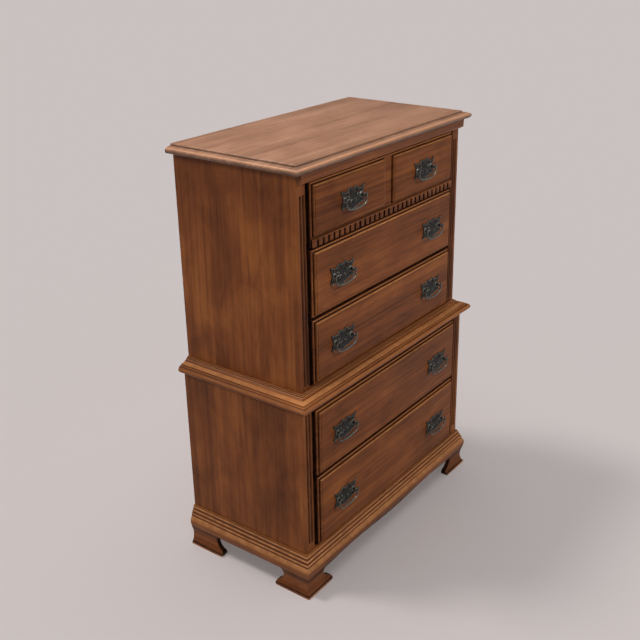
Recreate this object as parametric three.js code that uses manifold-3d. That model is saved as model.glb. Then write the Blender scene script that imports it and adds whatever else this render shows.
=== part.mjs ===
// Tall chest of drawers on bracket feet, in millimetres, +Z up, front towards -Y.
// Origin: middle of the bounding box, on the floor.
//
// A narrow upper case with three drawers stands on a wider lower case with two. The top drawer has one
// wide front, made to look like two small drawers over a dentil strip. Every drawer slides towards -Y,
// and every pull has a bail that swings on two posts.

import * as THREE from 'three';
import { mergeVertices } from 'three/addons/utils/BufferGeometryUtils.js';
import Module from 'manifold-3d';

const wasm = await Module();
wasm.setup();

// ---------------------------------------------------------------- driving dimensions

const HEIGHT = 1315;
const UPPER_HALF = 422.5; // half width of the upper case
const LOWER_HALF = 445;
const UPPER_DEPTH = 437;
const LOWER_DEPTH = 456.5;
const FACE_PROUD = 13; // raised panel of a drawer front, in front of the stiles
const RIM_PROUD = 5; // flat rim round that panel
const PULL_PROUD = 19.5; // end of a pull's post, in front of the raised panel

const BACK = (LOWER_DEPTH + FACE_PROUD + PULL_PROUD) / 2;
const UPPER_FRONT = BACK - UPPER_DEPTH;
const LOWER_FRONT = BACK - LOWER_DEPTH;

const TOP_UNDERSIDE = HEIGHT - 25;
const BED_BOTTOM = TOP_UNDERSIDE - 30;
const BED_PROUD = 19;
const WAIST_TOP = 660;
const WAIST_BOTTOM = 620;
const LOWER_TOP = 640; // top face of the lower case, where the upper one stands
const BASE_TOP = 138;
const CASE_FOOT = 75; // lower end of the lower sides and stiles, behind the base boards

const SIDE_THICK = 19;
const STILE_THICK = 20;
const BACK_THICK = 6;
const UPPER_STILE = 37.5;
const LOWER_STILE = 40;

const DIVIDER = { thick: 18, setback: 11, frame: 60, panel: 6 };
const GUIDE = { half: 12, high: 8, play: 0.7 }; // rail under the middle of each drawer
const UPPER_BOTTOM = { low: LOWER_TOP, top: 662 };
const LOWER_BOTTOM = { low: 118, top: 140 };

const FRONT_BACK = 9; // back of a drawer front, behind the stiles' front
const RIM_WIDTH = 12; // from the front's edge to the step up to the raised panel
const BOX = { inset: 8.5, side: 12, length: 400, gap: 0.4, belowTop: 18 };
const DRAWER_BOTTOM = { raised: 11, thick: 5 };

const UPPER_DRAWER_HALF = 370.5;
const LOWER_DRAWER_HALF = 390;
const PANEL_LOW = 1104; // lower edge of the top drawer's two raised panels
const CENTRE_STRIP = 38; // flat strip between them
const DENTIL = { low: 1076, high: 1099, teeth: 30, slot: 9, proud: 5, deep: 4, slotTop: 1096 };

const FLUTE = { first: 12, width: 9.5, pitch: 12.5, deep: 3.5, stop: 4 };

const TOE = { front: 121, side: 131, proud: 24.5, sole: 6 };
const NECK = { front: 87, side: 104, high: 46, proud: 14.5 };
const APRON = { mean: 63, wave: 6, period: 450, side: 67 };
const REAR = { thick: 22, apron: 62, toe: 84, neck: 66 };
const MITRE_GAP = 0.3;

const PULL = {
  plate: 3,
  bore: 38, // half the distance between the posts
  post: 5.5, // post radius
  pivot: 15, // pivot axis, in front of the raised panel
  hole: 2.4,
  pin: 2,
  arm: 47.2,
  rod: 3.1, // bail rod radius
  drop: 29, // from the pivot axis to the middle of the bail's bar
};

// The five drawers from the top down: edges and half width of the front, front of the stiles beside it,
// and the middle of each pull.
const DRAWERS = [
  { low: 1075, high: 1256, half: UPPER_DRAWER_HALF, front: UPPER_FRONT, pullX: 189, pullZ: 1176 },
  { low: 871, high: 1068, half: UPPER_DRAWER_HALF, front: UPPER_FRONT, pullX: 243, pullZ: 971 },
  { low: 667, high: 863, half: UPPER_DRAWER_HALF, front: UPPER_FRONT, pullX: 242, pullZ: 767 },
  { low: 383, high: 597, half: LOWER_DRAWER_HALF, front: LOWER_FRONT, pullX: 265, pullZ: 492 },
  { low: 144, high: 375, half: LOWER_DRAWER_HALF, front: LOWER_FRONT, pullX: 265, pullZ: 259 },
];

/** Top face of the divider between a drawer and the next one down. */
const dividerTop = (above, below) => (above.low + below.high) / 2 + DIVIDER.thick / 2;

const SHELVES = [
  dividerTop(DRAWERS[0], DRAWERS[1]),
  dividerTop(DRAWERS[1], DRAWERS[2]),
  UPPER_BOTTOM.top,
  dividerTop(DRAWERS[3], DRAWERS[4]),
  LOWER_BOTTOM.top,
];

// ---------------------------------------------------------------- geometry helpers

const at = (x, y, z) => new THREE.Vector3(x, y, z);

/** A closed geometry from points and triangles, turned so that its faces point out. */
function closed(points, triangles) {
  const volume = triangles.reduce((sum, [a, b, c]) => {
    return sum + points[a].dot(new THREE.Vector3().crossVectors(points[b], points[c]));
  }, 0);
  const coordinates = points.flatMap((point) => point.toArray());
  const geometry = new THREE.BufferGeometry();
  geometry.setAttribute('position', new THREE.Float32BufferAttribute(coordinates, 3));
  geometry.setIndex(triangles.flatMap(([a, b, c]) => (volume > 0 ? [a, b, c] : [a, c, b])));
  return geometry;
}

/** Joins a row of sections with the same number of points into one closed body. */
function loft(sections, capTriangles) {
  const count = sections[0].length;
  const last = (sections.length - 1) * count;
  const triangles = [];
  for (let s = 0; s < sections.length - 1; s++) {
    for (let i = 0; i < count; i++) {
      const a = s * count + i;
      const b = s * count + ((i + 1) % count);
      triangles.push([a, b, b + count], [a, b + count, a + count]);
    }
  }
  for (const [a, b, c] of capTriangles) {
    triangles.push([a, c, b], [last + a, last + b, last + c]);
  }
  return closed(sections.flat(), triangles);
}

/** Sweeps a closed shape past places that each turn its x and y into a point in space. */
function sweep(shape, places, divisions = 4) {
  const outline = shape.extractPoints(divisions).shape;
  if (THREE.ShapeUtils.isClockWise(outline)) {
    outline.reverse();
  }
  const caps = THREE.ShapeUtils.triangulateShape(outline, []);
  return loft(places.map((place) => outline.map((point) => place(point.x, point.y))), caps);
}

/** A stack of rectangles, each given by its four corners. */
const stack = (levels) => loft(levels, [[0, 1, 2], [0, 2, 3]]);

/** A shape drawn in X and Z, pushed along Y. */
const pushY = (shape, y0, y1) => sweep(shape, [(x, z) => at(x, y0, z), (x, z) => at(x, y1, z)]);

/** A shape drawn in Y and Z, pushed along X. */
const pushX = (shape, x0, x1) => sweep(shape, [(y, z) => at(x0, y, z), (y, z) => at(x1, y, z)]);

function block(x0, x1, y0, y1, z0, z1) {
  const geometry = new THREE.BoxGeometry(x1 - x0, y1 - y0, z1 - z0);
  return geometry.translate((x0 + x1) / 2, (y0 + y1) / 2, (z0 + z1) / 2);
}

function toSolid(geometry) {
  const bare = geometry.clone();
  bare.deleteAttribute('normal');
  bare.deleteAttribute('uv');
  const merged = mergeVertices(bare, 1e-4);
  return new wasm.Manifold(new wasm.Mesh({
    numProp: 3,
    vertProperties: new Float32Array(merged.attributes.position.array),
    triVerts: new Uint32Array(merged.index.array),
  }));
}

function toGeometry(solid) {
  const mesh = solid.getMesh();
  const geometry = new THREE.BufferGeometry();
  geometry.setAttribute('position', new THREE.BufferAttribute(mesh.vertProperties, 3));
  geometry.setIndex(new THREE.BufferAttribute(mesh.triVerts, 1));
  return geometry;
}

const join = (...parts) => toGeometry(parts.map(toSolid).reduce((a, b) => a.add(b)));

const cut = (body, ...tools) => {
  return toGeometry(tools.map(toSolid).reduce((a, b) => a.subtract(b), toSolid(body)));
};

const common = (a, b) => toGeometry(toSolid(a).intersect(toSolid(b)));

// ---------------------------------------------------------------- nodes and finishes

const FINISHES = {
  case: { color: 0x6e3f22, roughness: 0.45, metalness: 0 },
  top: { color: 0x7d4c30, roughness: 0.4, metalness: 0 },
  moulding: { color: 0x8a5530, roughness: 0.42, metalness: 0 },
  drawer: { color: 0x74411f, roughness: 0.42, metalness: 0 },
  inside: { color: 0xb08a5c, roughness: 0.7, metalness: 0 },
  iron: { color: 0x24221f, roughness: 0.42, metalness: 0.9 },
};

const chest = new THREE.Group();

function add(name, finish, geometry, place = at(0, 0, 0)) {
  geometry.computeVertexNormals();
  const mesh = new THREE.Mesh(geometry, new THREE.MeshStandardMaterial(FINISHES[finish]));
  mesh.name = name;
  mesh.position.copy(place);
  chest.add(mesh);
}

// ---------------------------------------------------------------- mouldings

/** Top board, flat at the back, with the same rounded edge on its front and both ends. */
function topBoard() {
  const edge = new THREE.Path(); // how far the edge stands out from the upper case, and how high
  edge.moveTo(20, 0);
  edge.quadraticCurveTo(29, 0.5, 30, 8);
  edge.quadraticCurveTo(30, 16, 22, 19);
  edge.lineTo(10, 20.5);
  edge.lineTo(8, 20.5);
  edge.lineTo(7.2, 24);
  edge.lineTo(6.2, 25);
  return stack(edge.getPoints(4).map(({ x: proud, y: up }) => [
    at(-UPPER_HALF - proud, UPPER_FRONT - proud, TOP_UNDERSIDE + up),
    at(UPPER_HALF + proud, UPPER_FRONT - proud, TOP_UNDERSIDE + up),
    at(UPPER_HALF + proud, BACK, TOP_UNDERSIDE + up),
    at(-UPPER_HALF - proud, BACK, TOP_UNDERSIDE + up),
  ]));
}

function bedMoulding() {
  const front = UPPER_FRONT - BED_PROUD;
  const section = new THREE.Shape();
  section.moveTo(UPPER_FRONT, BED_BOTTOM);
  section.lineTo(UPPER_FRONT, TOP_UNDERSIDE);
  section.lineTo(front, TOP_UNDERSIDE);
  section.lineTo(front, BED_BOTTOM + 10);
  section.quadraticCurveTo(front, BED_BOTTOM + 2, front + 9, BED_BOTTOM + 2);
  section.lineTo(front + 10, BED_BOTTOM);
  return pushX(section, -UPPER_HALF, UPPER_HALF);
}

/** Waist moulding: distance in front of the upper case, and height, swept round three sides. */
function waistMoulding() {
  const step = LOWER_HALF - UPPER_HALF;
  const section = new THREE.Shape();
  section.moveTo(step, WAIST_BOTTOM);
  section.lineTo(40, WAIST_BOTTOM);
  section.quadraticCurveTo(46.5, WAIST_BOTTOM + 4, 46.5, WAIST_BOTTOM + 12);
  section.quadraticCurveTo(46, WAIST_BOTTOM + 17, 41, WAIST_BOTTOM + 19.5);
  section.lineTo(32.5, WAIST_BOTTOM + 22.5);
  section.lineTo(31, WAIST_BOTTOM + 25);
  section.quadraticCurveTo(18, WAIST_BOTTOM + 28, 8, WAIST_BOTTOM + 35.5);
  section.lineTo(6.5, WAIST_BOTTOM + 36);
  section.lineTo(6, WAIST_TOP);
  section.lineTo(0, WAIST_TOP);
  section.lineTo(0, LOWER_TOP);
  section.lineTo(step, LOWER_TOP);
  return sweep(section, [
    (p, z) => at(-UPPER_HALF - p, BACK, z),
    (p, z) => at(-UPPER_HALF - p, UPPER_FRONT - p, z),
    (p, z) => at(UPPER_HALF + p, UPPER_FRONT - p, z),
    (p, z) => at(UPPER_HALF + p, BACK, z),
  ]);
}

// ---------------------------------------------------------------- case

/** A front stile with two stopped flutes. side is -1 on the left and 1 on the right. */
function stile(side, { half, width, front, low, high, fluteLow, fluteHigh }) {
  const inner = half - width;
  const body = block(Math.min(side * half, side * inner), Math.max(side * half, side * inner),
    front, front + STILE_THICK, low, high);
  const r = FLUTE.width / 2;
  const groove = new THREE.Shape(); // across the flute, and into the wood
  groove.moveTo(-r, -1);
  groove.lineTo(-r, 0);
  groove.quadraticCurveTo(-r, FLUTE.deep, 0, FLUTE.deep);
  groove.quadraticCurveTo(r, FLUTE.deep, r, 0);
  groove.lineTo(r, -1);
  const flutes = [0, 1].map((i) => {
    const x = side * (half - FLUTE.first - r - i * FLUTE.pitch);
    const full = (z) => (a, b) => at(x + a, front + b, z);
    const runOut = (z) => (a, b) => at(x + a * 0.4, front + Math.min(b, -0.2), z);
    const places = [runOut(fluteLow), full(fluteLow + FLUTE.stop), full(fluteHigh - FLUTE.stop)];
    return sweep(groove, [...places, runOut(fluteHigh)], 3);
  });
  return cut(body, ...flutes);
}

/** A drawer divider: a frame with a thin dust panel in it, and a guide along its middle. */
function divider(half, stileWidth, front, top) {
  const low = top - DIVIDER.thick;
  const y0 = front + STILE_THICK;
  const y1 = BACK - BACK_THICK;
  const inside = half - SIDE_THICK;
  const rail = block(stileWidth - half, half - stileWidth, front + DIVIDER.setback, y0 + 1, low, top);
  const board = block(-inside, inside, y0, y1, low, top);
  const panelLow = (low + top - DIVIDER.panel) / 2;
  const recess = (z0, z1) => block(DIVIDER.frame - inside, inside - DIVIDER.frame,
    y0 + DIVIDER.frame, y1 - DIVIDER.frame, z0, z1);
  const guide = block(-GUIDE.half, GUIDE.half, y0, y1 - SIDE_THICK, panelLow, top + GUIDE.high);
  const recesses = [recess(low - 1, panelLow), recess(panelLow + DIVIDER.panel, top + 1)];
  return join(cut(join(rail, board), ...recesses), guide);
}

/** The bottom board of a case, with its front edge level with the stiles. */
function bottomBoard(half, stileWidth, front, { low, top }) {
  const y0 = front + STILE_THICK;
  const y1 = BACK - BACK_THICK;
  const inside = half - SIDE_THICK;
  return join(
    block(stileWidth - half, half - stileWidth, front, y0 + 1, low, top),
    block(-inside, inside, y0, y1, low, top),
    block(-GUIDE.half, GUIDE.half, y0, y1 - SIDE_THICK, top - 1, top + GUIDE.high),
  );
}

function addUpperCase() {
  const inside = UPPER_HALF - SIDE_THICK;
  const opening = UPPER_HALF - UPPER_STILE;
  const behind = UPPER_FRONT + STILE_THICK;
  const shape = { half: UPPER_HALF, width: UPPER_STILE, front: UPPER_FRONT, low: LOWER_TOP,
    high: TOP_UNDERSIDE, fluteLow: WAIST_TOP + 14, fluteHigh: TOP_UNDERSIDE - 62 };
  add('top_board', 'top', topBoard());
  add('bed_moulding', 'moulding', bedMoulding());
  add('upper_left_side', 'case', block(-UPPER_HALF, -inside, behind, BACK, LOWER_TOP, TOP_UNDERSIDE));
  add('upper_right_side', 'case', block(inside, UPPER_HALF, behind, BACK, LOWER_TOP, TOP_UNDERSIDE));
  add('upper_back', 'inside', block(-inside, inside, BACK - BACK_THICK, BACK, LOWER_TOP, TOP_UNDERSIDE));
  add('upper_left_stile', 'case', stile(-1, shape));
  add('upper_right_stile', 'case', stile(1, shape));
  add('upper_top_rail', 'case', block(-opening, opening, UPPER_FRONT, behind, BED_BOTTOM, TOP_UNDERSIDE));
  add('upper_divider_1', 'inside', divider(UPPER_HALF, UPPER_STILE, UPPER_FRONT, SHELVES[0]));
  add('upper_divider_2', 'inside', divider(UPPER_HALF, UPPER_STILE, UPPER_FRONT, SHELVES[1]));
  add('upper_bottom', 'case', bottomBoard(UPPER_HALF, UPPER_STILE, UPPER_FRONT, UPPER_BOTTOM));
  add('waist_moulding', 'moulding', waistMoulding());
}

function addLowerCase() {
  const inside = LOWER_HALF - SIDE_THICK;
  const opening = LOWER_HALF - LOWER_STILE;
  const behind = LOWER_FRONT + STILE_THICK;
  const overhang = UPPER_FRONT - (LOWER_HALF - UPPER_HALF); // front edge, behind the waist moulding
  const railLow = DRAWERS[3].high + 4;
  const shape = { half: LOWER_HALF, width: LOWER_STILE, front: LOWER_FRONT, low: CASE_FOOT,
    high: WAIST_BOTTOM, fluteLow: BASE_TOP + 28, fluteHigh: WAIST_BOTTOM - 12 };
  add('lower_top', 'case', join(
    block(-LOWER_HALF, LOWER_HALF, overhang, BACK, WAIST_BOTTOM, LOWER_TOP),
    block(-opening, opening, LOWER_FRONT, behind, railLow, WAIST_BOTTOM + 1),
  ));
  add('lower_left_side', 'case', block(-LOWER_HALF, -inside, behind, BACK, CASE_FOOT, WAIST_BOTTOM));
  add('lower_right_side', 'case', block(inside, LOWER_HALF, behind, BACK, CASE_FOOT, WAIST_BOTTOM));
  add('lower_back', 'inside',
    block(-inside, inside, BACK - BACK_THICK, BACK, LOWER_BOTTOM.low, WAIST_BOTTOM));
  add('lower_left_stile', 'case', stile(-1, shape));
  add('lower_right_stile', 'case', stile(1, shape));
  add('lower_divider', 'inside', divider(LOWER_HALF, LOWER_STILE, LOWER_FRONT, SHELVES[3]));
  add('lower_bottom', 'case', bottomBoard(LOWER_HALF, LOWER_STILE, LOWER_FRONT, LOWER_BOTTOM));
}

// ---------------------------------------------------------------- base boards and feet

/** The base boards' section: distance in front of the lower case, and height. */
function baseSection() {
  const section = new THREE.Shape();
  section.moveTo(0, 0);
  section.lineTo(TOE.proud, 0);
  section.lineTo(TOE.proud, TOE.sole);
  section.quadraticCurveTo(NECK.proud, 18, NECK.proud, 40); // up the foot
  section.bezierCurveTo(NECK.proud, 60, 24, 66, 24, 84); // out into the frieze
  section.quadraticCurveTo(24, 98, 18.5, 102);
  section.lineTo(15.5, 103.5);
  section.absarc(14, 108.5, 4.2, -0.9, 1.9, false); // three beads
  section.lineTo(10.5, 114);
  section.absarc(8, 121.5, 5.4, -1, 1.6, false);
  section.lineTo(6.5, 128.5);
  section.absarc(3.4, 133.4, 4.6, -0.8, Math.PI / 2, false);
  section.lineTo(0, BASE_TOP);
  return section;
}

/** Outline of a board with a foot at each end: places along the board, and heights. */
function footOutline(start, end, toe, neck, apronHigh) {
  const outline = new THREE.Shape();
  const right = end - neck;
  const left = start + neck;
  outline.moveTo(start, -1);
  outline.lineTo(start, BASE_TOP + 1);
  outline.lineTo(end, BASE_TOP + 1);
  outline.lineTo(end, -1);
  outline.lineTo(end - toe, -1);
  outline.lineTo(end - toe, TOE.sole + 2);
  outline.quadraticCurveTo(right, 12, right, NECK.high);
  outline.quadraticCurveTo(right, apronHigh(right), right - 8, apronHigh(right - 8));
  const steps = 16;
  for (let i = 1; i <= steps; i++) {
    const along = THREE.MathUtils.lerp(right - 8, left + 8, i / steps);
    outline.lineTo(along, apronHigh(along));
  }
  outline.quadraticCurveTo(left, apronHigh(left), left, NECK.high);
  outline.quadraticCurveTo(left, 12, start + toe, TOE.sole + 2);
  outline.lineTo(start + toe, -1);
  return outline;
}

function addBase() {
  const half = LOWER_HALF + TOE.proud;
  const front = LOWER_FRONT - TOE.proud;
  const wave = (x) => APRON.mean - APRON.wave * Math.cos((2 * Math.PI * x) / APRON.period);
  const straight = () => APRON.side;
  const section = baseSection();

  const frontBoard = sweep(section, [
    (p, z) => at(-LOWER_HALF - p + MITRE_GAP, LOWER_FRONT - p, z),
    (p, z) => at(LOWER_HALF + p - MITRE_GAP, LOWER_FRONT - p, z),
  ]);
  const frontOutline = footOutline(-half, half, TOE.front, NECK.front, wave);
  add('base_front', 'moulding', common(frontBoard, pushY(frontOutline, front - 1, LOWER_FRONT + 1)));

  const sideOutline = footOutline(front, BACK, TOE.side, NECK.side, straight);
  for (const [name, side] of [['base_left', -1], ['base_right', 1]]) {
    const board = sweep(section, [
      (p, z) => at(side * (LOWER_HALF + p), LOWER_FRONT - p, z),
      (p, z) => at(side * (LOWER_HALF + p), BACK, z),
    ]);
    const reach = [side * (LOWER_HALF - 1), side * (half + 1)].sort((a, b) => a - b);
    add(name, 'moulding', common(board, pushX(sideOutline, ...reach)));
  }

  const inside = LOWER_HALF - SIDE_THICK;
  const rear = new THREE.Shape();
  rear.moveTo(-LOWER_HALF, 0);
  rear.lineTo(-LOWER_HALF, CASE_FOOT);
  rear.lineTo(-inside, CASE_FOOT);
  rear.lineTo(-inside, LOWER_BOTTOM.low);
  rear.lineTo(inside, LOWER_BOTTOM.low);
  rear.lineTo(inside, CASE_FOOT);
  rear.lineTo(LOWER_HALF, CASE_FOOT);
  rear.lineTo(LOWER_HALF, 0);
  rear.lineTo(LOWER_HALF - REAR.toe, 0);
  rear.quadraticCurveTo(LOWER_HALF - REAR.neck, 30, LOWER_HALF - REAR.toe, REAR.apron);
  rear.lineTo(REAR.toe - LOWER_HALF, REAR.apron);
  rear.quadraticCurveTo(REAR.neck - LOWER_HALF, 30, REAR.toe - LOWER_HALF, 0);
  add('base_rear', 'inside', pushY(rear, BACK - REAR.thick, BACK));
}

// ---------------------------------------------------------------- drawers

/** A raised panel with a moulded edge, given by the outline of its lowest step. */
function raisedPanel(x0, x1, z0, z1, front) {
  const edge = new THREE.Path(); // inwards from the outline, and in front of the stiles
  edge.moveTo(0, RIM_PROUD - 2);
  edge.lineTo(0, RIM_PROUD + 2.5);
  edge.quadraticCurveTo(1, FACE_PROUD - 0.5, 5.5, FACE_PROUD);
  return stack(edge.getPoints(4).map(({ x: inset, y: proud }) => [
    at(x0 + inset, front - proud, z0 + inset),
    at(x1 - inset, front - proud, z0 + inset),
    at(x1 - inset, front - proud, z1 - inset),
    at(x0 + inset, front - proud, z1 - inset),
  ]));
}

/** The flat board of a drawer front, with its front edges eased. */
function frontBoard({ low, high, half, front }) {
  const level = (inset, y) => [
    at(inset - half, y, low + inset),
    at(half - inset, y, low + inset),
    at(half - inset, y, high - inset),
    at(inset - half, y, high - inset),
  ];
  return stack([
    level(0, front + FRONT_BACK),
    level(0, front - RIM_PROUD + 1.5),
    level(1.5, front - RIM_PROUD),
  ]);
}

function drawerFront(drawer, number) {
  const { low, high, half, front } = drawer;
  const x = half - RIM_WIDTH;
  const top = high - RIM_WIDTH;
  const panels = number === 1
    ? [raisedPanel(-x, -CENTRE_STRIP / 2, PANEL_LOW, top, front),
      raisedPanel(CENTRE_STRIP / 2, x, PANEL_LOW, top, front)]
    : [raisedPanel(-x, x, low + RIM_WIDTH, top, front)];
  return join(frontBoard(drawer), ...panels);
}

/** A strip of square teeth with round-headed slots between them. */
function dentilStrip({ half, front }) {
  const y1 = front - RIM_PROUD;
  const y0 = y1 - DENTIL.proud;
  const pitch = (2 * half) / DENTIL.teeth;
  const r = DENTIL.slot / 2;
  const slots = [];
  for (let i = 0; i <= DENTIL.teeth; i++) {
    const x = i * pitch - half;
    const slot = new THREE.Shape();
    slot.moveTo(x - r, DENTIL.low - 1);
    slot.lineTo(x + r, DENTIL.low - 1);
    slot.lineTo(x + r, DENTIL.slotTop - r);
    slot.absarc(x, DENTIL.slotTop - r, r, 0, Math.PI, false);
    slots.push(sweep(slot, [(a, z) => at(a, y0 - 1, z), (a, z) => at(a, y0 + DENTIL.deep, z)], 2));
  }
  return cut(block(-half, half, y0, y1, DENTIL.low, DENTIL.high), ...slots);
}

/** A drawer's sides and its back, which is notched over the guide. */
function drawerBox({ half, front, high }, low) {
  const outer = half - BOX.inset;
  const inner = outer - BOX.side;
  const y0 = front + FRONT_BACK;
  const y1 = y0 + BOX.length;
  const top = high - BOX.belowTop;
  const notch = GUIDE.half + GUIDE.play;
  return cut(
    join(
      block(-outer, -inner, y0, y1, low, top),
      block(inner, outer, y0, y1, low, top),
      block(-inner - 1, inner + 1, y1 - BOX.side, y1, low, top),
    ),
    block(-notch, notch, y1 - BOX.side - 1, y1 + 1, low - 1, low + GUIDE.high + GUIDE.play),
  );
}

function drawerBottom({ half, front }, low) {
  const inner = half - BOX.inset - BOX.side;
  const y0 = front + FRONT_BACK;
  const z0 = low + DRAWER_BOTTOM.raised;
  return block(-inner, inner, y0, y0 + BOX.length - BOX.side, z0, z0 + DRAWER_BOTTOM.thick);
}

// ---------------------------------------------------------------- pulls, drawn round the pivot axis

/** Batwing plate with two posts, each with a cross hole for the bail's pin. */
function pullPlate() {
  const right = new THREE.Path(); // right half of the outline, from the top notch to the bottom drop
  right.moveTo(0, 25);
  right.quadraticCurveTo(6, 26, 9, 30);
  right.quadraticCurveTo(15, 31.5, 22, 27);
  right.quadraticCurveTo(27, 21, 34, 21);
  right.quadraticCurveTo(45, 22, 55, 28);
  right.quadraticCurveTo(57, 20, 51, 13);
  right.quadraticCurveTo(46, 5, 49, -5);
  right.quadraticCurveTo(52, -15, 57, -23);
  right.quadraticCurveTo(50, -27, 44, -21);
  right.quadraticCurveTo(34, -17, 25, -24);
  right.quadraticCurveTo(14, -28, 9, -32);
  right.quadraticCurveTo(4, -35, 0, -35);
  const half = right.getPoints(2);
  const mirrored = half.slice(1, -1).reverse().map((point) => new THREE.Vector2(-point.x, point.y));
  const plate = pushY(new THREE.Shape([...half, ...mirrored]), PULL.pivot, PULL.pivot - PULL.plate);
  const end = PULL.pivot - PULL.plate + 0.5;
  const long = end - (PULL.pivot - PULL_PROUD);
  const posts = [-1, 1].map((side) => {
    const post = new THREE.CylinderGeometry(PULL.post, PULL.post, long, 12);
    return post.translate(side * PULL.bore, end - long / 2, 0);
  });
  const holes = [-1, 1].map((side) => {
    const hole = new THREE.CylinderGeometry(PULL.hole, PULL.hole, 2 * PULL.post + 2, 10);
    return hole.rotateZ(Math.PI / 2).translate(side * PULL.bore, 0, 0);
  });
  return cut(join(plate, ...posts), ...holes);
}

/** Bail: a bent rod, with a pin at each end that turns in its post. */
function pullBail() {
  const route = new THREE.CatmullRomCurve3([
    at(-PULL.arm, 0, 3.5),
    at(-PULL.arm - 0.6, 0, -6),
    at(-PULL.arm + 1, 0, -16),
    at(-PULL.arm + 8, 0, -25),
    at(-26, 0, -PULL.drop),
    at(0, 0, -PULL.drop - 0.5),
    at(26, 0, -PULL.drop),
    at(PULL.arm - 8, 0, -25),
    at(PULL.arm - 1, 0, -16),
    at(PULL.arm + 0.6, 0, -6),
    at(PULL.arm, 0, 3.5),
  ]);
  const section = new THREE.Shape();
  section.absarc(0, 0, PULL.rod, 0, 2 * Math.PI, false);
  const rod = new THREE.ExtrudeGeometry(section, { extrudePath: route, steps: 18, curveSegments: 4 });
  const inner = PULL.bore - PULL.post + 1;
  const pins = [-1, 1].map((side) => {
    const pin = new THREE.CylinderGeometry(PULL.pin, PULL.pin, PULL.arm - inner, 8);
    return pin.rotateZ(Math.PI / 2).translate(side * (PULL.arm + inner) / 2, 0, 0);
  });
  return join(rod, ...pins);
}

function addDrawers() {
  DRAWERS.forEach((drawer, i) => {
    const number = i + 1;
    const boxLow = SHELVES[i] + BOX.gap;
    add(`drawer_${number}_front`, 'drawer', drawerFront(drawer, number));
    add(`drawer_${number}_box`, 'inside', drawerBox(drawer, boxLow));
    add(`drawer_${number}_bottom`, 'inside', drawerBottom(drawer, boxLow));
    for (const [hand, side] of [['left', -1], ['right', 1]]) {
      const pivot = at(side * drawer.pullX, drawer.front - FACE_PROUD - PULL.pivot, drawer.pullZ);
      add(`pull_${number}_${hand}_plate`, 'iron', pullPlate(), pivot);
      add(`pull_${number}_${hand}_bail`, 'iron', pullBail(), pivot);
    }
  });
  add('dentil_strip', 'drawer', dentilStrip(DRAWERS[0]));
}

addUpperCase();
addLowerCase();
addBase();
addDrawers();

export default chest;
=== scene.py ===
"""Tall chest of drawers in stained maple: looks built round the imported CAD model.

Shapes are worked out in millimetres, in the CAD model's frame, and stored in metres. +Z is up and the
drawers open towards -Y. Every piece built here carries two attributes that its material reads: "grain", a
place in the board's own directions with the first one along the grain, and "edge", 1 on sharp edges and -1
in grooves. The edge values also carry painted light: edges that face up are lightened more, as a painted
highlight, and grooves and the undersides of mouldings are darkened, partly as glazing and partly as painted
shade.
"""

import math
import random

import bmesh
import bpy
from mathutils import Matrix, Vector


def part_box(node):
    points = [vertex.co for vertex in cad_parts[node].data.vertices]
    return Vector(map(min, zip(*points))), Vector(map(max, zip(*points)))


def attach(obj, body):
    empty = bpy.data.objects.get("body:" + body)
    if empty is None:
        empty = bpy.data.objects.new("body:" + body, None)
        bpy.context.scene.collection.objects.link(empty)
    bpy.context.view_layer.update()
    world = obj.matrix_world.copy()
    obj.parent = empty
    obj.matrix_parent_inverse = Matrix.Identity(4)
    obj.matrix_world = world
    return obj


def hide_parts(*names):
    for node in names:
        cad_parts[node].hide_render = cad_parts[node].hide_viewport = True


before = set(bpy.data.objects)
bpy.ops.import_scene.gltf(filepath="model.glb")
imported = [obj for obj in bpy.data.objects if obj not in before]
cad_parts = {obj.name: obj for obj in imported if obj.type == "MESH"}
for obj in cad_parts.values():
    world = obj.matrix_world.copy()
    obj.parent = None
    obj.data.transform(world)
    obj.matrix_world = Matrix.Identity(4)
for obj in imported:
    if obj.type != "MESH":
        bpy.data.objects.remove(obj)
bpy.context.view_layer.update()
MM = 0.001


# ---------------------------------------------------------------- sizes from the CAD model, in millimetres

def low(node):
    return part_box(node)[0] / MM


def high(node):
    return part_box(node)[1] / MM


UPPER_HALF = high("upper_right_side").x
LOWER_HALF = high("lower_right_side").x
BACK = high("upper_back").y
UPPER_FRONT = low("upper_left_stile").y
LOWER_FRONT = low("lower_left_stile").y
TOP_UNDERSIDE = low("top_board").z
BED_BOTTOM = low("bed_moulding").z
WAIST_TOP = high("waist_moulding").z
WAIST_BOTTOM = low("waist_moulding").z
BASE_TOP = high("base_front").z
RIM_PROUD = 5  # flat rim of a drawer front, in front of the stiles
PIVOT = 15  # pivot axis of a bail, in front of the raised panel
BORE = 38  # half the distance between a pull's posts
POST_PROUD = 4.5  # end of a pull's post, in front of the pivot axis
PLATE_RISE = 30  # top of a CAD plate, over the pivot axis
BASE_PROUD = 24.5  # the feet, outside the lower case
MITRE_GAP = 0.3  # kept free at the end of the front base board, where the side boards meet it
DRAWERS = (1, 2, 3, 4, 5)
HANDS = ("left", "right")


# ---------------------------------------------------------------- outlines

SHORTEST = 1e-6  # two points closer than this are one


def curve(p0, p1, p2, p3=None, steps=6):
    """Points on a quadratic or cubic Bezier curve, without its first point."""
    points = []
    for i in range(1, steps + 1):
        t = i / steps
        u = 1 - t
        if p3 is None:
            weights = ((u * u, p0), (2 * u * t, p1), (t * t, p2))
        else:
            weights = ((u ** 3, p0), (3 * u * u * t, p1), (3 * u * t * t, p2), (t ** 3, p3))
        points.append(tuple(sum(w * p[k] for w, p in weights) for k in (0, 1)))
    return points


def arc(centre, radius, start, end, steps=8):
    """Points on an arc, with both of its ends. Angles are in degrees."""
    points = []
    for i in range(steps + 1):
        a = math.radians(start + (end - start) * i / steps)
        points.append((centre[0] + radius * math.cos(a), centre[1] + radius * math.sin(a)))
    return points


def sense(path):
    """1 where a closed outline runs anticlockwise, and -1 where it runs clockwise."""
    area = sum(a.x * b.y - b.x * a.y for a, b in zip(path, path[1:] + path[:1]))
    return 1 if area > 0 else -1


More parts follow.
